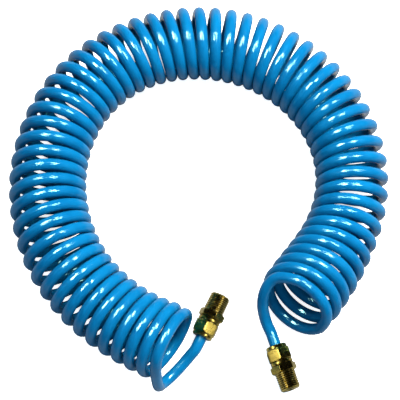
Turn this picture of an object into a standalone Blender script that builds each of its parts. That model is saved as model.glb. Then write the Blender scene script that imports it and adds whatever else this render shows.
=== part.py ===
"""Coiled air hose: a self-storing hose wound into touching turns, its coil bent into an open ring on the
floor, with the same brass swivel fitting on both ends.

Lengths in the constants are in millimetres and angles in degrees; everything is built in metres, +Z up.
Each fitting is laid out along its own axis, from the mouth of its nut (0) to the tip of its thread.
"""
from math import cos, pi, radians, sin

import bmesh
import bpy
from mathutils import Matrix, Vector

MM = 0.001
GAP = 0.3                      # clearance between touching pieces

# --- the hose -------------------------------------------------------------------------------------
HOSE_OD = 8.0
HOSE_ID = 5.0
TURN_PITCH = 8.0               # the turns touch on the inner side of the ring

# The coil's own shape: turn number, compass heading of the coil's axis, how far the turn's top leans
# back, how far the turn is skewed in plan, and the radius of the turn's centre line.
COIL_STATIONS = [
    (0, 160, -9, -10, 24.9),
    (4, 149, -7, -7, 23.5),
    (8, 131, -1, -1, 23.5),
    (12, 110, -4, 1, 23.7),
    (20, 69, -8, 0, 22.8),
    (28, 21, -1, 2, 21.8),
    (36, -19, 1, 1, 22.3),
    (44, -62, 3, -2, 21.8),
    (48, -88, 4, -2, 21.8),
    (52, -113, 12, 4, 22.3),
    (56, -126, 23, 4, 24.6),
    (59, -126, 32, 0, 24.7),
]
COIL_START = (-14.1, -111.0)   # where the coil's axis stands at turn 0
FIRST_TURN = 0.75              # the coil starts here, on the inner side of the first turn
TAIL_A_TURN = 0.36             # tail A opens out of the winding here, past the top of the first turn
LAST_TURN = 58.625             # tail B starts here, coming down from the top of the last turn
COIL_BODY = (1.33, 57.92)      # turns that the coil's solid covers
STEPS_PER_TURN = 24            # steps for walking along the coil's axis
COIL_SIDES = 24

# Where each tail leaves the coil and runs to its fitting, in order.
TAIL_A_ROUTE = [(-28.2, -135.2, 17.0), (-25.0, -133.4, 7.2), (-19.0, -127.8, 4.5), (-12.4, -121.0, 4.6),
                (-6.8, -114.6, 6.0)]
TAIL_B_ROUTE = [(49.2, -67.4, 35.0), (45.4, -73.0, 29.0), (44.2, -79.8, 21.5), (45.3, -86.2, 15.0),
                (47.6, -92.6, 11.0)]
TAIL_STEP = 8.0                # spacing of the points along a tail
TAIL_STRAIGHT = 9.0            # straight hose behind each nut, so that the nut can back off along it
ROUTE_SAMPLES = 12             # points between two route points while a tail's curve is drawn

# --- the fittings ---------------------------------------------------------------------------------
FITTING_A = {"mouth": (1.9, -101.1), "heading": 64.8, "nut_turn": 27.0, "collar_turn": 51.0}
FITTING_B = {"mouth": (53.45, -107.35), "heading": -71.3, "nut_turn": 30.0, "collar_turn": 51.0}
AXIS_HEIGHT = 9.5              # fitting axis above the floor, so that both hexagons clear it all round
NUT_FLATS = 15.5               # across flats
NUT_LENGTH = 11.1
NUT_BORE = 13.2
CAP_DIAMETER = 14.5            # round end of the nut, where the hose goes in
CAP_LENGTH = 2.3
SEAT_DIAMETER = 10.8           # the ferrule sits in this part of the nut
BARREL_DIAMETER = 12.6         # the nut screws onto this part of the swivel body
BARREL_START = 7.4
NECK_DIAMETER = 15.6
NECK_START = 11.4
NECK_END = 13.9
COLLAR_FLATS = 16.3            # across flats
COLLAR_LENGTH = 5.0
THREAD_DIAMETER = 14.6         # pipe thread, crest at the collar
THREAD_TAPER = 1.0 / 60.0      # on diameter
FITTING_LENGTH = 32.3
BODY_BORE = 4.6
PORT_BORE = 6.0
STEM_DIAMETER = 8.6            # the stem that the nipple turns on
STEM_END = 22.4
SEAL_GROOVE = (20.1, 21.6, 6.2)     # from, to and diameter of its floor, in the stem
RING_GROOVE = (16.7, 18.1)          # from and to, shared by stem and nipple
STEM_RING_DIAMETER = 7.6            # floor of the stem's half of that groove
NIPPLE_RING_DIAMETER = 10.4         # floor of the nipple's half
EDGE = 0.4                     # chamfer on turned edges
HOSE_STOP = 11.5               # where the hose ends inside the fitting
BORE_START = 1.5               # how far back the open bore in the hose's end is modelled
TURNED_SEGMENTS = 32

# --- placing --------------------------------------------------------------------------------------
LAYOUT_SHIFT = (-0.12, 2.75)    # moves the layout so that its box is centred on the origin

COLOURS = {
    "hose": ((0.002, 0.165, 0.56), 0.22, 0.0),
    "brass": ((0.47, 0.34, 0.09), 0.3, 1.0),
    "bright_brass": ((0.55, 0.42, 0.14), 0.25, 1.0),
    "rubber": ((0.02, 0.02, 0.02), 0.6, 0.0),
    "spring_steel": ((0.45, 0.45, 0.46), 0.35, 1.0),
}


# --- helpers --------------------------------------------------------------------------------------
def clear_scene():
    for obj in list(bpy.data.objects):
        bpy.data.objects.remove(obj, do_unlink=True)


def new_collection(name):
    collection = bpy.data.collections.new(name)
    bpy.context.scene.collection.children.link(collection)
    return collection


def make_material(name, look):
    colour, roughness, metallic = COLOURS[look]
    material = bpy.data.materials.new(name)
    material.use_nodes = True
    shader = material.node_tree.nodes["Principled BSDF"]
    shader.inputs["Base Color"].default_value = (*colour, 1.0)
    shader.inputs["Roughness"].default_value = roughness
    shader.inputs["Metallic"].default_value = metallic
    material.diffuse_color = (*colour, 1.0)
    return material


def add_object(name, mesh, collection, look, parent):
    obj = bpy.data.objects.new(name, mesh)
    collection.objects.link(obj)
    obj.data.materials.append(make_material(name, look))
    obj.parent = parent
    return obj


def shade_round(mesh):
    mesh.shade_smooth()
    mesh.set_sharp_from_angle(angle=radians(35))


def add_empty(name, collection, location, rotation, parent):
    empty = bpy.data.objects.new(name, None)
    empty.empty_display_size = 0.01
    empty.location = location
    empty.rotation_euler = rotation
    empty.parent = parent
    collection.objects.link(empty)
    return empty


# --- the coil's centre line -----------------------------------------------------------------------
def station(turn, column):
    """Value of one column of COIL_STATIONS at a turn, by a smooth curve through the rows."""
    rows = COIL_STATIONS
    last = len(rows) - 1
    k = 0
    while k < last - 1 and rows[k + 1][0] < turn:
        k += 1

    def slope(i):
        before, after = rows[max(i - 1, 0)], rows[min(i + 1, last)]
        return (after[column] - before[column]) / (after[0] - before[0])

    width = rows[k + 1][0] - rows[k][0]
    u = (turn - rows[k][0]) / width
    value = (2 * u**3 - 3 * u**2 + 1) * rows[k][column] + (3 * u**2 - 2 * u**3) * rows[k + 1][column]
    return value + width * ((u**3 - 2 * u**2 + u) * slope(k) + (u**3 - u**2) * slope(k + 1))


def coil_frames(end_turn):
    """Walks along the coil's axis: a list of (turn, centre, outward, upward, radius)."""
    frames = []
    x, y = COIL_START
    step = 1.0 / STEPS_PER_TURN
    for i in range(int(round(end_turn * STEPS_PER_TURN)) + 1):
        turn = i * step
        if i > 0:
            middle = turn - step / 2
            bend = abs(radians(station(turn, 1) - station(turn - step, 1)))
            slant = cos(radians(station(middle, 2))) * cos(radians(station(middle, 3)))
            advance = TURN_PITCH * step / slant + station(middle, 4) * bend
            x += advance * cos(radians(station(middle, 1)))
            y += advance * sin(radians(station(middle, 1)))
        lean = radians(station(turn, 2))
        facing = radians(station(turn, 1) + station(turn, 3))
        radius = station(turn, 4)
        outward = Vector((-sin(facing), cos(facing), 0.0))
        upward = Vector((-sin(lean) * cos(facing), -sin(lean) * sin(facing), cos(lean)))
        centre = Vector((x, y, HOSE_OD / 2 + radius * cos(lean)))
        frames.append((turn, centre, outward, upward, radius))
    return frames


def hose_point(frame):
    """Point of the hose's centre line in one frame: bottom of the turn at whole numbers of turns."""
    turn, centre, outward, upward, radius = frame
    angle = 2 * pi * (turn - 0.25)
    return centre + radius * (cos(angle) * outward + sin(angle) * upward)


def smooth_route(points, spacing):
    """Evenly spaced points on a smooth curve through the given points."""
    fine = []
    for k in range(len(points) - 1):
        before, start = points[max(k - 1, 0)], points[k]
        end, after = points[k + 1], points[min(k + 2, len(points) - 1)]
        for i in range(ROUTE_SAMPLES):
            u = i / ROUTE_SAMPLES
            fine.append(0.5 * (2 * start + (end - before) * u
                               + (2 * before - 5 * start + 4 * end - after) * u**2
                               + (3 * start - before - 3 * end + after) * u**3))
    fine.append(points[-1].copy())
    lengths = [0.0]
    for a, b in zip(fine, fine[1:]):
        lengths.append(lengths[-1] + (b - a).length)
    count = max(int(round(lengths[-1] / spacing)), 2)
    route = []
    k = 0
    for i in range(count + 1):
        target = lengths[-1] * i / count
        while k < len(fine) - 2 and lengths[k + 1] < target:
            k += 1
        share = (target - lengths[k]) / (lengths[k + 1] - lengths[k])
        route.append(fine[k].lerp(fine[k + 1], share))
    return route


# --- the hose's solids ----------------------------------------------------------------------------
def coil_solid(frames, collection, parent):
    """The coil's outer shape, lofted by hand through the outside circles of its turns, because they lean,
    skew and change size from one to the next, which no sweep along a path follows."""
    bm = bmesh.new()
    rings = []
    first, last = COIL_BODY
    wanted = [first] + [turn for turn in range(2, int(last) + 1)] + [last]
    for turn in wanted:
        _, centre, outward, upward, radius = min(frames, key=lambda frame: abs(frame[0] - turn))
        outside = radius + HOSE_OD / 2
        ring = []
        for i in range(COIL_SIDES):
            angle = 2 * pi * i / COIL_SIDES
            point = centre + outside * (cos(angle) * outward + sin(angle) * upward)
            ring.append(bm.verts.new(point * MM))
        rings.append(ring)
    for a, b in zip(rings, rings[1:]):
        for i in range(COIL_SIDES):
            j = (i + 1) % COIL_SIDES
            bm.faces.new((a[i], a[j], b[j], b[i]))
    bm.faces.new(rings[0][::-1])
    bm.faces.new(rings[-1])
    bmesh.ops.recalc_face_normals(bm, faces=bm.faces)
    mesh = bpy.data.meshes.new("hose_coil")
    bm.to_mesh(mesh)
    bm.free()
    shade_round(mesh)
    add_object("hose_coil", mesh, collection, "hose", parent)


def fitting_direction(fitting):
    heading = radians(fitting["heading"])
    return Vector((cos(heading), sin(heading), 0.0))


def along_fitting(fitting, distance):
    mouth = Vector((*fitting["mouth"], AXIS_HEIGHT))
    return mouth + fitting_direction(fitting) * distance


def tail_points(coiled, route, fitting):
    """Centre line of a tail: its stretch of the last turn, its own route, and straight into the fitting."""
    bend = smooth_route(coiled + [Vector(p) for p in route] + [along_fitting(fitting, -TAIL_STRAIGHT),
                                                             along_fitting(fitting, 0.0)], TAIL_STEP)
    start = along_fitting(fitting, -TAIL_STRAIGHT)
    direction = fitting_direction(fitting)
    curved = [p for p in bend if (p - start).dot(direction) < -TAIL_STEP / 2]
    return curved + [start, along_fitting(fitting, 0.0), along_fitting(fitting, HOSE_STOP)]


def tail_solid(name, points, fitting, frame_empty, collection, cutters, parent):
    """A plain tube along the tail, with the hose's bore open where it sits in the fitting."""
    curve = bpy.data.curves.new(name + "_path", "CURVE")
    curve.dimensions = "3D"
    curve.bevel_depth = HOSE_OD / 2 * MM
    curve.bevel_resolution = 4
    curve.use_fill_caps = True
    spline = curve.splines.new("POLY")
    spline.points.add(len(points) - 1)
    for target, point in zip(spline.points, points):
        target.co = (*(point * MM), 1.0)
    path = bpy.data.objects.new(name + "_path", curve)
    collection.objects.link(path)
    path.parent = parent
    bpy.context.view_layer.update()
    evaluated = path.evaluated_get(bpy.context.evaluated_depsgraph_get())
    mesh = bpy.data.meshes.new_from_object(evaluated)
    mesh.name = name
    bm = bmesh.new()
    bm.from_mesh(mesh)
    bmesh.ops.remove_doubles(bm, verts=bm.verts, dist=0.00001)
    bmesh.ops.recalc_face_normals(bm, faces=bm.faces)
    bm.to_mesh(mesh)
    bm.free()
    mesh.materials.clear()
    shade_round(mesh)
    tail = add_object(name, mesh, collection, "hose", None)
    tail.matrix_world = path.matrix_world.copy()
    bpy.data.objects.remove(path, do_unlink=True)
    bpy.data.curves.remove(curve)

    depth = HOSE_STOP - BORE_START + 1.0
    cutter_mesh = bpy.data.meshes.new(name + "_bore")
    bm = bmesh.new()
    bmesh.ops.create_cone(bm, cap_ends=True, segments=24, radius1=HOSE_ID / 2 * MM,
                          radius2=HOSE_ID / 2 * MM, depth=depth * MM)
    bmesh.ops.translate(bm, verts=bm.verts, vec=(0.0, 0.0, (BORE_START + depth / 2) * MM))
    bm.to_mesh(cutter_mesh)
    bm.free()
    cut(tail, cutter_mesh, "DIFFERENCE", cutters, frame_empty)


def cut(obj, cutter_mesh, operation, cutters, parent):
    """Boolean of obj with a cutter that stands in the fitting's frame."""
    cutter = bpy.data.objects.new(cutter_mesh.name, cutter_mesh)
    cutters.objects.link(cutter)
    cutter.parent = parent
    cutter.hide_render = True
    cutter.display_type = "WIRE"
    modifier = obj.modifiers.new(operation.lower(), "BOOLEAN")
    modifier.operation = operation
    modifier.solver = "EXACT"
    modifier.object = cutter


# --- the fittings' pieces -------------------------------------------------------------------------
def turned(name, profile, collection, look, parent):
    """A turned piece about local Z. The closed profile runs down its outer side and up its inner side."""
    mesh = bpy.data.meshes.new(name)
    points = [(radius * MM, 0.0, height * MM) for radius, height in profile]
    edges = [(i, (i + 1) % len(points)) for i in range(len(points))]
    mesh.from_pydata(points, edges, [])
    obj = add_object(name, mesh, collection, look, parent)
    screw = obj.modifiers.new("turn", "SCREW")
    screw.axis = "Z"
    screw.angle = 2 * pi
    screw.steps = TURNED_SEGMENTS
    screw.render_steps = TURNED_SEGMENTS
    screw.use_merge_vertices = True
    screw.merge_threshold = 0.00001
    screw.use_smooth_shade = True
    return obj


def hex_prism(name, flats, length, turn):
    """A hexagonal prism about local Z, from below the fitting to above it."""
    mesh = bpy.data.meshes.new(name)
    corner = flats / 2 / cos(pi / 6)
    bm = bmesh.new()
    bmesh.ops.create_cone(bm, cap_ends=True, segments=6, radius1=corner * MM, radius2=corner * MM,
                          depth=length * MM)
    bmesh.ops.translate(bm, verts=bm.verts, vec=(0.0, 0.0, FITTING_LENGTH / 2 * MM))
    bm.transform(Matrix.Rotation(radians(turn), 4, "Z"))
    bm.to_mesh(mesh)
    bm.free()
    return mesh


def half_corner(flats):
    """Distance from the axis that lies just outside a hexagon's corners."""
    return flats / 2 / cos(pi / 6) + 0.1


def nut_profile():
    """Round cap, hexagon chamfered at both ends, and inside the hose's way in, the ferrule's seat and the bore."""
    corner, cap, mouth = half_corner(NUT_FLATS), CAP_DIAMETER / 2, HOSE_OD / 2 + GAP
    face, seat, bore = NUT_FLATS / 2 - GAP, SEAT_DIAMETER / 2, NUT_BORE / 2
    seat_start, seat_end = 3.6, BARREL_START - 0.5
    return [(face, NUT_LENGTH), (corner, NUT_LENGTH - 0.6 * (corner - face)), (corner, CAP_LENGTH + corner - cap),
            (cap, CAP_LENGTH), (cap, EDGE), (cap - EDGE, 0.0), (mouth, 0.0), (mouth, seat_start - 1.0),
            (seat, seat_start), (seat, seat_end), (bore, seat_end + 0.2), (bore, NUT_LENGTH)]


def ferrule_profile():
    inside, edge, outside = HOSE_OD / 2 + GAP, 4.6, SEAT_DIAMETER / 2 - GAP
    start, end, slope = 3.9, BARREL_START - EDGE, 0.7
    return [(edge, end), (outside, end - slope), (outside, start + slope), (edge, start), (inside, start),
            (inside, end)]


def body_profile():
    """Threaded socket for the hose, round neck, and the stem with its two grooves."""
    neck, barrel, socket = NECK_DIAMETER / 2, BARREL_DIAMETER / 2, HOSE_OD / 2 + GAP
    stem, bore = STEM_DIAMETER / 2, BODY_BORE / 2
    seal_start, seal_end, seal_floor = SEAL_GROOVE
    ring_start, ring_end = RING_GROOVE
    socket_end = HOSE_STOP + 1.0
    return [(stem - EDGE, STEM_END), (stem, STEM_END - EDGE), (stem, seal_end), (seal_floor / 2, seal_end),
            (seal_floor / 2, seal_start), (stem, seal_start), (stem, ring_end), (STEM_RING_DIAMETER / 2, ring_end),
            (STEM_RING_DIAMETER / 2, ring_start), (stem, ring_start), (stem, NECK_END), (neck - EDGE, NECK_END),
            (neck, NECK_END - EDGE), (neck, NECK_START + EDGE), (neck - EDGE, NECK_START), (barrel, NECK_START),
            (barrel, BARREL_START + EDGE), (barrel - EDGE, BARREL_START), (socket + EDGE, BARREL_START),
            (socket, BARREL_START + 2 * EDGE), (socket, socket_end), (bore, socket_end), (bore, STEM_END)]


def insert_profile():
    """Thin sleeve that holds the hose's end open, with a flange against the end of the hose."""
    flange, outside, inside = 3.6, HOSE_ID / 2 - GAP, 1.7
    start, end = BORE_START + 0.7, HOSE_STOP + 0.7
    return [(flange, end), (flange, HOSE_STOP + GAP), (outside, HOSE_STOP + GAP), (outside, start),
            (inside, start), (inside, end)]


def nipple_profile():
    """Hex collar, tapered pipe thread at its crest size, and the socket that turns on the stem."""
    start = NECK_END + GAP
    end = start + COLLAR_LENGTH
    corner, face = half_corner(COLLAR_FLATS), COLLAR_FLATS / 2 - EDGE / 4
    chamfer = 0.5 * (corner - face)
    crest = THREAD_DIAMETER / 2
    tip = crest - (FITTING_LENGTH - end) * THREAD_TAPER / 2
    socket, socket_end = STEM_DIAMETER / 2 + GAP, STEM_END + GAP
    ring_start, ring_end = RING_GROOVE
    return [(tip - 2 * EDGE, FITTING_LENGTH), (tip, FITTING_LENGTH - 2 * EDGE), (crest, end), (face, end),
            (corner, end - chamfer), (corner, start + chamfer), (face, start), (socket, start),
            (socket, ring_start), (NIPPLE_RING_DIAMETER / 2, ring_start), (NIPPLE_RING_DIAMETER / 2, ring_end),
            (socket, ring_end), (socket, socket_end), (PORT_BORE / 2, socket_end), (PORT_BORE / 2, FITTING_LENGTH)]


def wire_profile(centre, thickness, height, sides):
    """Round section of a ring about the axis."""
    angles = [-2 * pi * i / sides for i in range(sides)]
    return [(centre + thickness * cos(angle), height + thickness * sin(angle)) for angle in angles]


def o_ring(name, collection, parent):
    """Swivel seal, in the stem's upper groove."""
    centre, thickness = 3.85, 0.45
    height = (SEAL_GROOVE[0] + SEAL_GROOVE[1]) / 2
    return turned(name, wire_profile(centre, thickness, height, 12), collection, "rubber", parent)


def retaining_ring(name, collection, cutters, parent):
    """Split wire ring that stands half in the stem's groove and half in the nipple's."""
    centre, thickness, opening = 4.5, 0.4, 2.4
    height = (RING_GROOVE[0] + RING_GROOVE[1]) / 2
    ring = turned(name, wire_profile(centre, thickness, height, 8), collection, "spring_steel", parent)
    gap = bpy.data.meshes.new(name + "_opening")
    reach = 4.0
    bm = bmesh.new()
    bmesh.ops.create_cube(bm, size=1.0)
    bmesh.ops.scale(bm, verts=bm.verts, vec=(reach * MM, opening * MM, reach * MM))
    bmesh.ops.translate(bm, verts=bm.verts, vec=(-centre * MM, 0.0, height * MM))
    bm.to_mesh(gap)
    bm.free()
    cut(ring, gap, "DIFFERENCE", cutters, parent)


def build_fitting(end, fitting, frame_empty, collection, cutters):
    """All pieces of one fitting; end is the letter that closes their names."""
    nut = turned("compression_nut_" + end, nut_profile(), collection, "brass", frame_empty)
    prism = hex_prism("nut_hex_" + end, NUT_FLATS, 2 * FITTING_LENGTH, fitting["nut_turn"])
    cut(nut, prism, "INTERSECT", cutters, frame_empty)
    turned("ferrule_" + end, ferrule_profile(), collection, "bright_brass", frame_empty)
    turned("hose_insert_" + end, insert_profile(), collection, "bright_brass", frame_empty)
    turned("swivel_body_" + end, body_profile(), collection, "brass", frame_empty)
    o_ring("swivel_seal_" + end, collection, frame_empty)
    retaining_ring("retaining_ring_" + end, collection, cutters, frame_empty)
    nipple = turned("pipe_nipple_" + end, nipple_profile(), collection, "brass", frame_empty)
    prism = hex_prism("collar_hex_" + end, COLLAR_FLATS, 3 * FITTING_LENGTH, fitting["collar_turn"])
    cut(nipple, prism, "INTERSECT", cutters, frame_empty)


def main():
    clear_scene()
    collection = new_collection("coiled_air_hose")
    cutters = new_collection("cutters")
    shift = (LAYOUT_SHIFT[0] * MM, LAYOUT_SHIFT[1] * MM, 0.0)
    root = add_empty("layout", collection, shift, (0.0, 0.0, 0.0), None)
    frames = coil_frames(59)
    coil_solid(frames, collection, root)

    every = STEPS_PER_TURN // 8
    opened = [f for f in frames[::every] if TAIL_A_TURN <= f[0] <= FIRST_TURN]
    last = min(frames, key=lambda f: abs(f[0] - LAST_TURN))
    tails = [("a", FITTING_A, [hose_point(f) for f in reversed(opened)], TAIL_A_ROUTE),
             ("b", FITTING_B, [hose_point(last)], TAIL_B_ROUTE)]
    for end, fitting, coiled, route in tails:
        location = along_fitting(fitting, 0.0) * MM
        rotation = (0.0, pi / 2, radians(fitting["heading"]))
        frame_empty = add_empty("fitting_axis_" + end, collection, location, rotation, root)
        bpy.context.view_layer.update()
        points = tail_points(coiled, route, fitting)
        tail_solid("hose_tail_" + end, points, fitting, frame_empty, collection, cutters, root)
        build_fitting(end, fitting, frame_empty, collection, cutters)


main()
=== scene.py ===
"""Coiled air hose with brass swivel fittings: its looks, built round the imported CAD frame.

Lengths in the constants are in millimetres and angles in degrees, as on the drawing of the part, and
everything is made in metres, +Z up. A fitting is laid out along its own axis, from its nut's mouth (0)
to the tip of its thread.
"""

from math import atan2, ceil, cos, pi, radians, sin

import bmesh
import bpy
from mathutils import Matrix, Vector


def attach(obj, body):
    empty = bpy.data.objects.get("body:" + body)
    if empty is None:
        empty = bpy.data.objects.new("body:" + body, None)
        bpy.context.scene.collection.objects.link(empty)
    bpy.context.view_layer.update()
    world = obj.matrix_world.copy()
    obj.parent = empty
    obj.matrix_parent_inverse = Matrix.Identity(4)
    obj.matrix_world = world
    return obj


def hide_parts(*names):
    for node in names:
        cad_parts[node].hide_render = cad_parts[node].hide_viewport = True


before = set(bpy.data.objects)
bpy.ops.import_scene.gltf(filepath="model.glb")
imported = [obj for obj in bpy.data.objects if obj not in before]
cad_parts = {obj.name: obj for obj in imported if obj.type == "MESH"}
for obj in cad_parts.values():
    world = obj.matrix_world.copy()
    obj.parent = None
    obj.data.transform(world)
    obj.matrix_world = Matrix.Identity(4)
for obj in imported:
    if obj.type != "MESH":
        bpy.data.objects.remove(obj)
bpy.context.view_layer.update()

MM = 0.001

# --- the hose's route, as on the part --------------------------------------------------------------
HOSE_OD = 8.0
HOSE_ID = 5.0
TURN_PITCH = 8.0
# turn, heading of the coil's axis, lean, skew, radius
COIL_STATIONS = [
    (0, 160, -9, -10, 24.9),
    (4, 149, -7, -7, 23.5),
    (8, 131, -1, -1, 23.5),
    (12, 110, -4, 1, 23.7),
    (20, 69, -8, 0, 22.8),
    (28, 21, -1, 2, 21.8),
    (36, -19, 1, 1, 22.3),
    (44, -62, 3, -2, 21.8),
    (48, -88, 4, -2, 21.8),
    (52, -113, 12, 4, 22.3),
    (56, -126, 23, 4, 24.6),
    (59, -126, 32, 0, 24.7),
]
COIL_START = (-14.1, -111.0)
TAIL_A_TURNS = (0.75, 0.625, 0.5, 0.375)   # turns on the winding that tail A's curve starts from
LAST_TURN = 58.625
TAIL_B_BACK = (0.25, 0.125, 0.0)           # turns before the last one that tail B's curve starts from
STEPS_PER_TURN = 48
TAIL_A_ROUTE = [(-28.2, -135.2, 17.0), (-25.0, -133.4, 7.2), (-19.0, -127.8, 4.5), (-12.4, -121.0, 4.6),
                (-6.8, -114.6, 6.0)]
TAIL_B_ROUTE = [(49.2, -67.4, 35.0), (45.4, -73.0, 29.0), (44.2, -79.8, 21.5), (45.3, -86.2, 15.0),
                (47.6, -92.6, 11.0)]
TAIL_STRAIGHT = 9.0       # straight hose behind each nut
LAYOUT_SHIFT = (-0.12, 2.75)

# --- the fittings, as on the part ------------------------------------------------------------------
FITTINGS = {
    "a": {"mouth": (1.9, -101.1), "heading": 64.8, "nut_turn": 27.0, "collar_turn": 51.0},
    "b": {"mouth": (53.45, -107.35), "heading": -71.3, "nut_turn": 30.0, "collar_turn": 51.0},
}
AXIS_HEIGHT = 9.5
NUT_FLATS = 15.5
NUT_LENGTH = 11.1
NUT_BORE = 13.2
CAP_DIAMETER = 14.5       # the nut's round rim, at the hose's end
CAP_LENGTH = 2.3
SEAT_DIAMETER = 10.8      # the ferrule sits in this part of the nut
BARREL_DIAMETER = 12.6    # the nut screws onto this part of the swivel body
BARREL_START = 7.4
BARREL_THREAD = (1.06, 0.5)                # pitch and depth
NECK_DIAMETER = 15.6
NECK_START = 11.4
NECK_END = 13.9
COLLAR_FLATS = 16.3
COLLAR_LENGTH = 5.0
BODY_BORE = 4.6
PORT_BORE = 6.0
STEM_DIAMETER = 8.6       # the stem that the nipple turns on
STEM_END = 22.4
SEAL_GROOVE = (20.1, 21.6, 6.2)            # from, to and diameter of its floor, in the stem
RING_GROOVE = (16.7, 18.1)                 # from and to, shared by stem and nipple
STEM_RING_DIAMETER = 7.6                   # floor of the stem's half of that groove
NIPPLE_RING_DIAMETER = 10.4                # floor of the nipple's half
GAP = 0.3
THREAD_DIAMETER = 14.6
THREAD_TAPER = 1.0 / 60.0
PORT_THREAD = (25.4 / 18, 0.75)            # pitch and depth
PORT_TIP = 11.8           # diameter of the chamfer's small end
FITTING_LENGTH = 32.3
HOSE_STOP = 11.5          # the hose ends here, inside the body
HOSE_SOCKET_END = 12.5
BORE_DEPTH = 10.0         # the hose's bore is modelled this far in from each end


# --- materials -------------------------------------------------------------------------------------
class Nodes:
    """Short-hand for making one material's nodes."""

    def __init__(self, name):
        self.material = bpy.data.materials.new(name)
        self.material.use_nodes = True
        self.tree = self.material.node_tree
        self.shader = self.tree.nodes["Principled BSDF"]

    def add(self, kind, settings=None, **inputs):
        made = self.tree.nodes.new(kind)
        for key, value in (settings or {}).items():
            setattr(made, key, value)
        for key, value in inputs.items():
            self.put(made.inputs[key.replace("_", " ")], value)
        return made

    def put(self, socket, value):
        if isinstance(value, bpy.types.NodeSocket):
            self.tree.links.new(value, socket)
        else:
            socket.default_value = value

    def set(self, **inputs):
        for key, value in inputs.items():
            self.put(self.shader.inputs[key.replace("_", " ")], value)

    def attribute(self, name):
        return self.add("ShaderNodeAttribute", {"attribute_name": name})

    def noise(self, vector, scale, detail=2.0, roughness=0.5):
        return self.add("ShaderNodeTexNoise", Vector=vector, Scale=scale, Detail=detail,
                        Roughness=roughness).outputs["Fac"]

    def stretch(self, vector, factors):
        return self.add("ShaderNodeMapping", Vector=vector, Scale=factors).outputs["Vector"]

    def span(self, value, low, high, out_low, out_high):
        made = self.tree.nodes.new("ShaderNodeMapRange")
        for socket, number in zip(made.inputs, (value, low, high, out_low, out_high)):
            self.put(socket, number)
        return made.outputs["Result"]

    def maths(self, operation, first, second):
        made = self.add("ShaderNodeMath", {"operation": operation})
        self.put(made.inputs[0], first)
        self.put(made.inputs[1], second)
        return made.outputs["Value"]

    def mix(self, share, first, second):
        made = self.add("ShaderNodeMix", {"data_type": "RGBA"})
        self.put(made.inputs["Factor"], share)
        self.put(made.inputs["A"], first)
        self.put(made.inputs["B"], second)
        return made.outputs["Result"]

    def bump(self, height, strength, distance, normal=None):
        made = self.add("ShaderNodeBump", Height=height, Strength=strength, Distance=distance)
        if normal is not None:
            self.put(made.inputs["Normal"], normal)
        return made.outputs["Normal"]


def hose_material():
    """Glossy polyurethane with fine drawing lines along the hose, faint cloudiness and a little dust."""
    n = Nodes("polyurethane_blue")
    lay = n.attribute("lay").outputs["Vector"]
    lines = n.noise(n.stretch(lay, (15.0, 1300.0, 1300.0)), 1.0, 3.0, 0.6)
    cloud = n.noise(lay, 70.0, 3.0, 0.55)
    ripple = n.noise(n.stretch(lay, (220.0, 60.0, 60.0)), 1.0, 2.0, 0.5)
    specks = n.noise(lay, 2600.0, 2.0, 0.6)
    deep, clear = (0.0012, 0.086, 0.202, 1.0), (0.0018, 0.108, 0.240, 1.0)
    colour = n.mix(n.span(cloud, 0.35, 0.65, 0.0, 1.0), deep, clear)
    dust = n.span(specks, 0.66, 0.80, 0.0, 0.35)
    colour = n.mix(dust, colour, (0.008, 0.17, 0.36, 1.0))
    rough = n.maths("ADD", n.span(lines, 0.3, 0.7, 0.06, 0.14), n.span(specks, 0.6, 0.8, 0.0, 0.08))
    normal = n.bump(ripple, 0.35, 0.0004)
    normal = n.bump(lines, 1.0, 0.00018, normal)
    n.set(Base_Color=colour, Roughness=rough, Normal=normal, IOR=1.46, Specular_Tint=(0.45, 1.0, 0.92, 1.0))
    return n.material


def brass_material(name):
    """Machined brass: tool marks, painted shade in the thread roots, and edges and thread crests painted
    brighter, partly as wear and partly as a painted highlight, all by a value the mesh carries.
    """
    n = Nodes(name)
    local = n.attribute("local").outputs["Vector"]
    wear_and_painted_light = n.attribute("wear_and_painted_light").outputs["Fac"]
    stains = n.noise(local, 260.0, 4.0, 0.6)
    grain = n.noise(local, 2400.0, 2.0, 0.5)
    marks = n.noise(n.stretch(local, (60.0, 60.0, 6500.0)), 1.0, 2.0, 0.6)
    colour = n.mix(n.span(stains, 0.35, 0.7, 0.0, 1.0), (0.56, 0.42, 0.09, 1.0), (0.42, 0.31, 0.055, 1.0))
    # Painted shade: the thread roots are darkened towards a near-black brown.
    colour = n.mix(n.span(wear_and_painted_light, -0.5, 0.0, 0.9, 0.0), colour, (0.09, 0.06, 0.010, 1.0))
    # Rounded edges, hexagon corners and thread crests are painted lighter: partly rubbed wear, partly a
    # painted highlight.
    colour = n.mix(n.span(wear_and_painted_light, 0.35, 1.0, 0.0, 0.8), colour, (0.62, 0.50, 0.17, 1.0))
    rough = n.maths("ADD", n.span(stains, 0.3, 0.7, 0.22, 0.33), n.span(marks, 0.3, 0.7, -0.03, 0.05))
    normal = n.bump(marks, 0.30, 0.00005)
    normal = n.bump(grain, 0.12, 0.00005, normal)
    n.set(Base_Color=colour, Roughness=rough, Normal=normal, Metallic=1.0)
    return n.material


def rubber_material():
    n = Nodes("nitrile_rubber")
    place = n.add("ShaderNodeTexCoord").outputs["Object"]
    grain = n.noise(place, 1800.0, 3.0, 0.6)
    n.set(Base_Color=n.mix(grain, (0.010, 0.010, 0.011, 1.0), (0.030, 0.030, 0.032, 1.0)),
          Roughness=n.span(grain, 0.3, 0.7, 0.45, 0.7), Normal=n.bump(grain, 0.2, 0.0001))
    return n.material


def steel_material():
    n = Nodes("spring_steel")
    place = n.add("ShaderNodeTexCoord").outputs["Object"]
    grain = n.noise(place, 1500.0, 3.0, 0.6)
    n.set(Base_Color=n.mix(grain, (0.36, 0.36, 0.37, 1.0), (0.52, 0.52, 0.53, 1.0)),
          Roughness=n.span(grain, 0.3, 0.7, 0.28, 0.42), Normal=n.bump(grain, 0.15, 0.00005), Metallic=1.0)
    return n.material


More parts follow.
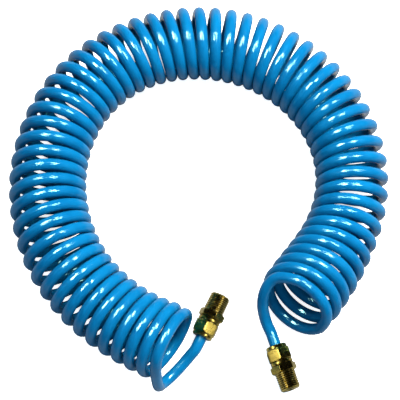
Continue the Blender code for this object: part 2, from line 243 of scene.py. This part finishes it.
def plain_brass_material():
    """For the pieces inside a fitting."""
    n = Nodes("bright_brass")
    place = n.add("ShaderNodeTexCoord").outputs["Object"]
    stains = n.noise(place, 300.0, 3.0, 0.6)
    n.set(Base_Color=n.mix(stains, (0.66, 0.47, 0.15, 1.0), (0.50, 0.35, 0.09, 1.0)),
          Roughness=n.span(stains, 0.3, 0.7, 0.2, 0.34), Normal=n.bump(stains, 0.1, 0.00005), Metallic=1.0)
    return n.material


# --- the hose's centre line ------------------------------------------------------------------------
def station(turn, column):
    """Value of one column of COIL_STATIONS at a turn, by a smooth curve through the rows."""
    rows = COIL_STATIONS
    last = len(rows) - 1
    k = 0
    while k < last - 1 and rows[k + 1][0] < turn:
        k += 1

    def slope(i):
        before, after = rows[max(i - 1, 0)], rows[min(i + 1, last)]
        return (after[column] - before[column]) / (after[0] - before[0])

    width = rows[k + 1][0] - rows[k][0]
    u = (turn - rows[k][0]) / width
    value = (2 * u**3 - 3 * u**2 + 1) * rows[k][column] + (3 * u**2 - 2 * u**3) * rows[k + 1][column]
    return value + width * ((u**3 - 2 * u**2 + u) * slope(k) + (u**3 - u**2) * slope(k + 1))


def coil_line(end_turn):
    """The winding's centre line, as a list of (turn, point), in millimetres on the layout."""
    line = []
    x, y = COIL_START
    step = 1.0 / STEPS_PER_TURN
    for i in range(int(round(end_turn * STEPS_PER_TURN)) + 1):
        turn = i * step
        if i > 0:
            middle = turn - step / 2
            bend = abs(radians(station(turn, 1) - station(turn - step, 1)))
            slant = cos(radians(station(middle, 2))) * cos(radians(station(middle, 3)))
            advance = TURN_PITCH * step / slant + station(middle, 4) * bend
            x += advance * cos(radians(station(middle, 1)))
            y += advance * sin(radians(station(middle, 1)))
        lean = radians(station(turn, 2))
        facing = radians(station(turn, 1) + station(turn, 3))
        radius = station(turn, 4)
        outward = Vector((-sin(facing), cos(facing), 0.0))
        upward = Vector((-sin(lean) * cos(facing), -sin(lean) * sin(facing), cos(lean)))
        centre = Vector((x, y, HOSE_OD / 2 + radius * cos(lean)))
        angle = 2 * pi * (turn - 0.25)
        line.append((turn, centre + radius * (cos(angle) * outward + sin(angle) * upward)))
    return line


def smooth_curve(points, spacing, samples=40):
    """Evenly spaced points on a smooth curve through the given points."""
    fine = []
    for k in range(len(points) - 1):
        before, start = points[max(k - 1, 0)], points[k]
        end, after = points[k + 1], points[min(k + 2, len(points) - 1)]
        for i in range(samples):
            u = i / samples
            fine.append(0.5 * (2 * start + (end - before) * u
                               + (2 * before - 5 * start + 4 * end - after) * u**2
                               + (3 * start - before - 3 * end + after) * u**3))
    fine.append(points[-1].copy())
    return resample(fine, spacing)


def resample(line, spacing):
    lengths = [0.0]
    for a, b in zip(line, line[1:]):
        lengths.append(lengths[-1] + (b - a).length)
    count = max(int(round(lengths[-1] / spacing)), 2)
    made = []
    k = 0
    for i in range(count + 1):
        target = lengths[-1] * i / count
        while k < len(line) - 2 and lengths[k + 1] < target:
            k += 1
        share = (target - lengths[k]) / max(lengths[k + 1] - lengths[k], 1e-9)
        made.append(line[k].lerp(line[k + 1], share))
    return made


def fitting_direction(fitting):
    heading = radians(fitting["heading"])
    return Vector((cos(heading), sin(heading), 0.0))


def along_fitting(fitting, distance):
    return Vector((*fitting["mouth"], AXIS_HEIGHT)) + fitting_direction(fitting) * distance


def eased(line, places, rounds, reach):
    """The line with its small kinks eased out near the given places."""
    line = [p.copy() for p in line]
    near = sorted({k for place in places for k in range(place - reach, place + reach)})
    for _ in range(rounds):
        moved = [(k, line[k] * 0.5 + (line[k - 1] + line[k + 1]) * 0.25) for k in near]
        for k, point in moved:
            line[k] = point
    return line


def hose_line():
    """The whole hose, from its end in fitting A to its end in fitting B, in metres in the part's frame."""
    winding = coil_line(ceil(LAST_TURN))
    spacing = 3.0
    steps = 7               # along the straight hose in and behind a fitting
    reach = TAIL_STRAIGHT + HOSE_STOP

    def turn_point(turn):
        return min(winding, key=lambda entry: abs(entry[0] - turn))[1]

    ends = {}
    for end, coiled, route in (("a", [turn_point(t) for t in TAIL_A_TURNS], TAIL_A_ROUTE),
                               ("b", [turn_point(LAST_TURN - back) for back in TAIL_B_BACK], TAIL_B_ROUTE)):
        fitting = FITTINGS[end]
        start = along_fitting(fitting, -TAIL_STRAIGHT)
        direction = fitting_direction(fitting)
        points = coiled + [Vector(p) for p in route] + [start, along_fitting(fitting, 0.0)]
        curve = smooth_curve(points, spacing)
        while (curve[-1] - start).dot(direction) > -spacing / 2:
            curve.pop()
        straight = [along_fitting(fitting, i * reach / steps - TAIL_STRAIGHT) for i in range(steps + 1)]
        ends[end] = curve + straight
    first, last = TAIL_A_TURNS[0], LAST_TURN - TAIL_B_BACK[0]
    middle = [point for turn, point in winding if first < turn < last]
    joins = len(ends["a"]), len(ends["a"]) + len(middle)
    line = eased(ends["a"][::-1] + middle + ends["b"], joins, rounds=10, reach=8)
    shift = Vector((*LAYOUT_SHIFT, 0.0))
    return [(p + shift) * MM for p in line]


# --- meshes ----------------------------------------------------------------------------------------
def finish_mesh(name, bm, material, sharp=40):
    bmesh.ops.recalc_face_normals(bm, faces=bm.faces)
    mesh = bpy.data.meshes.new(name)
    bm.to_mesh(mesh)
    bm.free()
    mesh.shade_smooth()
    mesh.set_sharp_from_angle(angle=radians(sharp))
    mesh.materials.append(material)
    obj = bpy.data.objects.new(name, mesh)
    bpy.context.scene.collection.objects.link(obj)
    return obj


def hose_tube(name, line, material):
    """A round tube along the line, its bore open at both ends. Carries "lay": metres along and across."""
    sides = 24
    bm = bmesh.new()
    lay = bm.verts.layers.float_vector.new("lay")
    side = Vector((0.0, 0.0, 1.0))
    along = 0.0
    radius = HOSE_OD / 2 * MM
    rings = []
    for k, point in enumerate(line):
        tangent = (line[min(k + 1, len(line) - 1)] - line[max(k - 1, 0)]).normalized()
        side = (side - tangent * side.dot(tangent)).normalized()
        other = tangent.cross(side)
        if k:
            along += (point - line[k - 1]).length
        ring = []
        for i in range(sides):
            angle = 2 * pi * i / sides
            vert = bm.verts.new(point + (cos(angle) * side + sin(angle) * other) * radius)
            vert[lay] = (along, cos(angle) * radius, sin(angle) * radius)
            ring.append(vert)
        rings.append(ring)
    for a, b in zip(rings, rings[1:]):
        for i in range(sides):
            j = (i + 1) % sides
            bm.faces.new((a[i], a[j], b[j], b[i]))
    for rim, centre, inner in ((rings[0], line[0], line[1]), (rings[-1], line[-1], line[-2])):
        depth = (inner - centre).normalized() * BORE_DEPTH * MM
        mouth = [bm.verts.new(centre + (v.co - centre) * HOSE_ID / HOSE_OD) for v in rim]
        bottom = [bm.verts.new(v.co + depth) for v in mouth]
        for made, old in zip(mouth + bottom, rim + rim):
            made[lay] = old[lay]
        for i in range(sides):
            j = (i + 1) % sides
            bm.faces.new((rim[i], rim[j], mouth[j], mouth[i]))
            bm.faces.new((mouth[i], mouth[j], bottom[j], bottom[i]))
        bm.faces.new(bottom)
    return finish_mesh(name, bm, material)


def round_columns(count=96):
    """Directions round a fitting's axis for a round piece, as (angle, 0): it has no hexagon's radius."""
    return [(2 * pi * i / count, 0.0) for i in range(count)]


def hex_columns(flats, turn, corner_radius=0.4, per_flat=8, per_corner=4):
    """Directions round the axis and the radius of a hexagon with rounded corners in each of them."""
    sit = (flats / 2 - corner_radius) / cos(pi / 6)
    points = []
    for k in range(6):
        corner = pi / 6 + k * pi / 3
        centre = Vector((cos(corner), sin(corner))) * sit
        for i in range(per_corner + 1):
            angle = corner + pi / 6 * (2 * i / per_corner - 1)
            points.append(centre + Vector((cos(angle), sin(angle))) * corner_radius)
        onward = corner + pi / 6
        next_centre = Vector((cos(corner + pi / 3), sin(corner + pi / 3))) * sit
        there = next_centre + Vector((cos(onward), sin(onward))) * corner_radius
        here = points[-1]
        points += [here.lerp(there, i / per_flat) for i in range(1, per_flat)]
    return sorted(((atan2(p.y, p.x) + radians(turn)) % (2 * pi), p.length) for p in points)


def rounded(corners, steps=3):
    """A profile with its corners eased, as (radius, height, wear). A corner is (radius, height, easing).

    An easing never takes more than share_of_side of the straight run to the next corner.
    """
    share_of_side = 0.45
    made = [(*corners[0][:2], 0.0)]
    for before, corner, after in zip(corners, corners[1:], corners[2:]):
        here = Vector(corner[:2])
        if not corner[2]:
            made.append((*here, 0.0))
            continue
        back = Vector(before[:2]) - here
        onward = Vector(after[:2]) - here
        start = here + back.normalized() * min(corner[2], back.length * share_of_side)
        end = here + onward.normalized() * min(corner[2], onward.length * share_of_side)
        for i in range(steps + 1):
            t = i / steps
            made.append((*((1 - t)**2 * start + 2 * t * (1 - t) * here + t**2 * end), 4 * t * (1 - t)))
    made.append((*corners[-1][:2], 0.0))
    return made


# One turn of a thread, from crest to crest: (share of the pitch, height as a share of the depth).
THREAD_FORM = [(0.0, 1.0), (0.13, 0.98), (0.20, 0.86), (0.42, 0.10), (0.5, 0.0), (0.58, 0.10), (0.80, 0.86),
               (0.88, 0.98)]


def thread_radius(thread, z, height):
    """Radius of a thread at z: it runs out at one end and is chamfered at the other."""
    run_out_turns, chamfer_slope = 1.1, 1.1
    crest = thread["crest"] - abs(z - thread["run_out"]) * thread["taper"] / 2
    share = min(abs(z - thread["run_out"]) / (thread["pitch"] * run_out_turns), 1.0)
    radius = crest - thread["depth"] * share * (2 - share) * (1 - height)
    return min(radius, thread["tip"] + abs(z - thread["chamfer"]) * chamfer_slope)


def lathe(name, fitting, columns, profile, material, thread=None):
    """A closed piece about a fitting's axis. profile(hexagon's radius) gives its corners in one direction.

    Without a thread the profile closes on itself. With one it runs from the thread's high end, through the
    inside, to the thread's low end. The mesh carries "local", its place along the fitting, and a second
    value, which is 1 on rounded edges and thread crests, 0 on plain faces and -0.5 in thread roots. The brass
    reads it as painted shade in the roots, and as brightening on edges and crests that is partly wear and
    partly a painted highlight.
    """
    bm = bmesh.new()
    local = bm.verts.layers.float_vector.new("local")
    wear_and_light_layer = bm.verts.layers.float.new("wear_and_painted_light")
    direction = fitting_direction(fitting)
    across = Vector((0.0, 0.0, 1.0)).cross(direction)
    origin = along_fitting(fitting, 0.0) + Vector((*LAYOUT_SHIFT, 0.0))
    count = len(columns)
    middle = sum(radius for _, radius in columns) / count

    def vert(angle, radius, height, wear_and_painted_light):
        x, y = cos(angle) * radius, sin(angle) * radius
        made = bm.verts.new((origin + direction * height - Vector((0.0, 0.0, 1.0)) * x + across * y) * MM)
        made[local] = (x * MM, y * MM, height * MM)
        made[wear_and_light_layer] = wear_and_painted_light
        return made

    def face(*verts):
        bm.faces.new(verts)

    strings = []
    for angle, hexagon in columns:
        string = []
        for radius, height, wear_and_painted_light in rounded(profile(hexagon)):
            # Hexagon corners get the brighter brass: partly rubbed wear, partly a painted highlight.
            if hexagon and radius > 0.99 * hexagon:
                wear_and_painted_light = max(wear_and_painted_light, min(max(hexagon / middle - 1.05, 0.0) * 20.0, 1.0))
            string.append(vert(angle, radius, height, wear_and_painted_light))
        strings.append(string)
    length = len(strings[0])
    for i in range(count):
        a, b = strings[i], strings[(i + 1) % count]
        for k in range(length - 1):
            face(a[k], a[k + 1], b[k + 1], b[k])
        if thread is None:
            face(a[-1], a[0], b[0], b[-1])

    if thread is not None:
        grid = []
        for m in range(int(ceil((thread["high"] - thread["low"]) / thread["pitch"])) + 2):
            for phase, height in THREAD_FORM:
                row = []
                for angle, _ in columns:
                    z = thread["low"] + (m - 1 + phase + angle / (2 * pi)) * thread["pitch"]
                    z = min(max(z, thread["low"]), thread["high"])
                    # Crests get the brighter brass (wear and painted highlight) and roots the near-black one
                    # (painted shade).
                    row.append(vert(angle, thread_radius(thread, z, height), z, 1.5 * height - 0.5))
                grid.append(row)
        per_turn = len(THREAD_FORM)
        for j in range(len(grid) - 1):
            for i in range(count - 1):
                face(grid[j][i], grid[j][i + 1], grid[j + 1][i + 1], grid[j + 1][i])
            if j + per_turn + 1 < len(grid):
                face(grid[j][count - 1], grid[j + per_turn][0],
                     grid[j + per_turn + 1][0], grid[j + 1][count - 1])
    bmesh.ops.remove_doubles(bm, verts=bm.verts, dist=0.000001)
    loose = [v for v in bm.verts if not v.link_faces]
    bmesh.ops.delete(bm, geom=loose, context="VERTS")
    return finish_mesh(name, bm, material)


# --- the fittings ----------------------------------------------------------------------------------
def nut(end, fitting, material):
    cap, face, mouth = CAP_DIAMETER / 2, NUT_FLATS / 2 - 0.3, HOSE_OD / 2 + GAP
    seat, bore = SEAT_DIAMETER / 2, NUT_BORE / 2
    seat_start, seat_end = 3.6, BARREL_START - 0.5
    front, back = 1.0, 0.6      # slopes of the chamfers: rise along the axis over fall towards it

    def profile(hexagon):
        return [(bore, NUT_LENGTH - 2.0, 0), (bore, NUT_LENGTH, 0.2), (face, NUT_LENGTH, 0.15),
                (hexagon, NUT_LENGTH - (hexagon - face) * back, 0.15),
                (hexagon, CAP_LENGTH + (hexagon - cap) * front, 0.15), (cap, CAP_LENGTH, 0.15),
                (cap, 0.5, 0.3), (cap - 0.5, 0.0, 0.3), (mouth, 0.0, 0.4), (mouth, seat_start - 1.0, 0.1),
                (seat, seat_start, 0.1), (seat, seat_end, 0.1), (bore, seat_end + 0.2, 0.1),
                (bore, BARREL_START + 0.6, 0)]

    made = lathe("nut_" + end, fitting, hex_columns(NUT_FLATS, fitting["nut_turn"]), profile, material)
    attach(made, "nut_" + end)
    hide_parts("compression_nut_" + end)
    return made


def swivel_body(end, fitting, material):
    neck, barrel, socket = NECK_DIAMETER / 2, BARREL_DIAMETER / 2, HOSE_OD / 2 + GAP
    stem, bore = STEM_DIAMETER / 2, BODY_BORE / 2
    ring_floor = STEM_RING_DIAMETER / 2
    ring_start, ring_end = RING_GROOVE
    seal_start, seal_end, seal_diameter = SEAL_GROOVE
    seal_floor = seal_diameter / 2
    pitch, depth = BARREL_THREAD
    tip = barrel - depth
    thread = {"low": BARREL_START, "high": NECK_START, "run_out": NECK_START, "chamfer": BARREL_START,
              "crest": barrel, "tip": tip, "taper": 0.0, "depth": depth, "pitch": pitch}

    def profile(_):
        return [(barrel, NECK_START, 0), (neck - 0.3, NECK_START, 0), (neck, NECK_START + 0.4, 0.2),
                (neck, NECK_END - 0.5, 0.25), (neck - 0.5, NECK_END, 0.2), (stem, NECK_END, 0.1),
                (stem, ring_start, 0.05), (ring_floor, ring_start, 0.05), (ring_floor, ring_end, 0.05),
                (stem, ring_end, 0.05), (stem, seal_start, 0.05), (seal_floor, seal_start, 0.05),
                (seal_floor, seal_end, 0.05), (stem, seal_end, 0.05), (stem, STEM_END - 0.4, 0.05),
                (stem - 0.3, STEM_END, 0.1), (bore, STEM_END, 0.1), (bore, HOSE_SOCKET_END, 0.1),
                (socket, HOSE_SOCKET_END, 0.1), (socket, BARREL_START + 0.6, 0.1),
                (socket + 0.4, BARREL_START, 0.05), (tip, BARREL_START, 0)]

    made = lathe("body_" + end, fitting, round_columns(), profile, material, thread)
    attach(made, "hose")
    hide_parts("swivel_body_" + end)
    return made


def nipple(end, fitting, material):
    start = NECK_END + GAP
    shoulder = start + COLLAR_LENGTH
    crest, tip, bore = THREAD_DIAMETER / 2, PORT_TIP / 2, PORT_BORE / 2
    socket, socket_end = STEM_DIAMETER / 2 + GAP, STEM_END + GAP
    groove = NIPPLE_RING_DIAMETER / 2
    ring_start, ring_end = RING_GROOVE
    face = COLLAR_FLATS / 2 - 0.1
    slope = 0.5             # of the collar's chamfers: rise along the axis over fall towards it
    pitch, depth = PORT_THREAD
    thread = {"low": shoulder, "high": FITTING_LENGTH, "run_out": shoulder, "chamfer": FITTING_LENGTH,
              "crest": crest, "tip": tip, "taper": THREAD_TAPER, "depth": depth, "pitch": pitch}

    def profile(hexagon):
        rise = (hexagon - face) * slope
        return [(tip, FITTING_LENGTH, 0), (bore + 0.4, FITTING_LENGTH, 0.1),
                (bore, FITTING_LENGTH - 0.4, 0.1), (bore, socket_end, 0.1), (socket, socket_end, 0.1),
                (socket, ring_end, 0.05), (groove, ring_end, 0.05), (groove, ring_start, 0.05),
                (socket, ring_start, 0.05), (socket, start, 0.1), (face, start, 0.1),
                (hexagon, start + rise, 0.15), (hexagon, shoulder - rise, 0.15), (face, shoulder, 0.1),
                (crest, shoulder, 0)]

    made = lathe("nipple_" + end, fitting, hex_columns(COLLAR_FLATS, fitting["collar_turn"], per_flat=12),
                 profile, material, thread)
    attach(made, "nipple_" + end)
    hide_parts("pipe_nipple_" + end)
    return made


def paint_node(name, material):
    """Gives a CAD node its finish."""
    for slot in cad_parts[name].material_slots:
        slot.material = material


def place_fittings():
    """All that belongs to both fittings; returns each fitting's pieces."""
    brass = brass_material("machined_brass")
    inner, rubber, steel = plain_brass_material(), rubber_material(), steel_material()
    pieces = {}
    for end, fitting in FITTINGS.items():
        pieces[end] = [make(end, fitting, brass) for make in (nut, swivel_body, nipple)]
        for name, material in (("ferrule_", inner), ("hose_insert_", inner), ("swivel_seal_", rubber),
                               ("retaining_ring_", steel)):
            paint_node(name + end, material)
            pieces[end].append(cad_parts[name + end])
    return pieces


def place_hose():
    line = hose_line()
    hose = hose_tube("hose", line, hose_material())
    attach(hose, "hose")
    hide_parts("hose_coil", "hose_tail_a", "hose_tail_b")
    mouth = (along_fitting(FITTINGS["a"], HOSE_STOP) + Vector((*LAYOUT_SHIFT, 0.0))) * MM
    return hose


# --- the studio ------------------------------------------------------------------------------------
def place_camera():
    data = bpy.data.cameras.new("camera")
    data.sensor_width = 36.0
    data.lens = 156.25
    data.shift_x = 0.0031
    data.shift_y = -0.0018
    data.clip_start = 0.01
    data.clip_end = 20.0
    camera = bpy.data.objects.new("camera", data)
    bpy.context.scene.collection.objects.link(camera)
    elevation, distance = radians(75.89), 1.2416
    target = Vector((LAYOUT_SHIFT[0] * MM, LAYOUT_SHIFT[1] * MM, 0.0))
    camera.location = target + Vector((0.0, -cos(elevation), sin(elevation))) * distance
    camera.rotation_euler = (pi / 2 - elevation, 0.0, 0.0)
    bpy.context.scene.camera = camera


def area_light(name, direction, distance, size, power, shown=True, lit=True, only=None):
    """A rectangular light facing the object. Not shown: no highlights. Not lit: highlights alone."""
    data = bpy.data.lights.new(name, "AREA")
    data.shape = "RECTANGLE"
    data.size, data.size_y = size
    data.energy = power
    light = bpy.data.objects.new(name, data)
    bpy.context.scene.collection.objects.link(light)
    light.location = Vector(direction).normalized() * distance
    light.rotation_euler = Vector(direction).to_track_quat("Z", "Y").to_euler()
    light.visible_glossy = shown
    light.visible_diffuse = lit
    if only is not None:
        receivers = bpy.data.collections.new(name + "_receivers")
        for obj in only:
            receivers.objects.link(obj)
        light.light_linking.receiver_collection = receivers
    return light


def place_floor():
    """A white card. It is paler to the camera than to bounced light, so the hose's shaded side stays deep."""
    mesh = bpy.data.meshes.new("floor")
    reach = 3.0
    corners = [(x * reach, y * reach, 0.0) for x, y in ((-1, -1), (1, -1), (1, 1), (-1, 1))]
    mesh.from_pydata(corners, [], [(0, 1, 2, 3)])
    floor = bpy.data.objects.new("floor", mesh)
    bpy.context.scene.collection.objects.link(floor)
    n = Nodes("floor_card")
    place = n.add("ShaderNodeTexCoord").outputs["Object"]
    grain = n.noise(place, 900.0, 2.0, 0.5)
    pale = n.mix(grain, (0.88, 0.88, 0.88, 1.0), (0.92, 0.92, 0.92, 1.0))
    seen = n.add("ShaderNodeLightPath").outputs["Is Camera Ray"]
    n.set(Base_Color=n.mix(seen, (0.20, 0.20, 0.20, 1.0), pale), Roughness=0.8,
          Emission_Color=(1.0, 1.0, 1.0, 1.0), Emission_Strength=n.maths("MULTIPLY", seen, 0.85),
          Normal=n.bump(grain, 0.05, 0.0001))
    floor.data.materials.append(n.material)


def place_world():
    """Soft light from all round, which makes no highlights."""
    world = bpy.data.worlds.new("studio")
    world.use_nodes = True
    background = world.node_tree.nodes["Background"]
    background.inputs["Color"].default_value = (0.55, 0.8, 1.0, 1.0)
    background.inputs["Strength"].default_value = 0.9
    world.cycles_visibility.glossy = False
    bpy.context.scene.world = world


def place_lights(pieces, hose):
    """Softboxes for the hose's highlights, strips and cards for the brass, and a fill that lights it all."""
    area_light("softbox_left", (-0.43, 0.2, 1.0), 1.6, (0.7, 0.36), 100.0, lit=False, only=(hose,))
    area_light("softbox_right", (0.29, 0.2, 1.0), 1.6, (0.7, 0.3), 65.0, lit=False, only=(hose,))
    area_light("strip_left", (-0.64, -0.14, 0.75), 1.5, (0.8, 0.24), 8.0, only=pieces["b"])
    area_light("strip_right", (0.62, -0.11, 0.77), 1.5, (0.8, 0.24), 8.0, only=pieces["a"])
    area_light("card_left", (-0.83, -0.04, 0.57), 1.5, (0.5, 0.5), 0.35)
    area_light("card_right", (0.81, -0.13, 0.59), 1.5, (0.5, 0.5), 0.35)
    area_light("fill_top", (0.5, 0.45, 1.0), 1.8, (1.0, 1.0), 110.0, shown=False)


scene = bpy.context.scene
scene.view_settings.view_transform = "Standard"
place_camera()
fittings = place_fittings()
hose = place_hose()
place_floor()
place_world()
place_lights(fittings, hose)
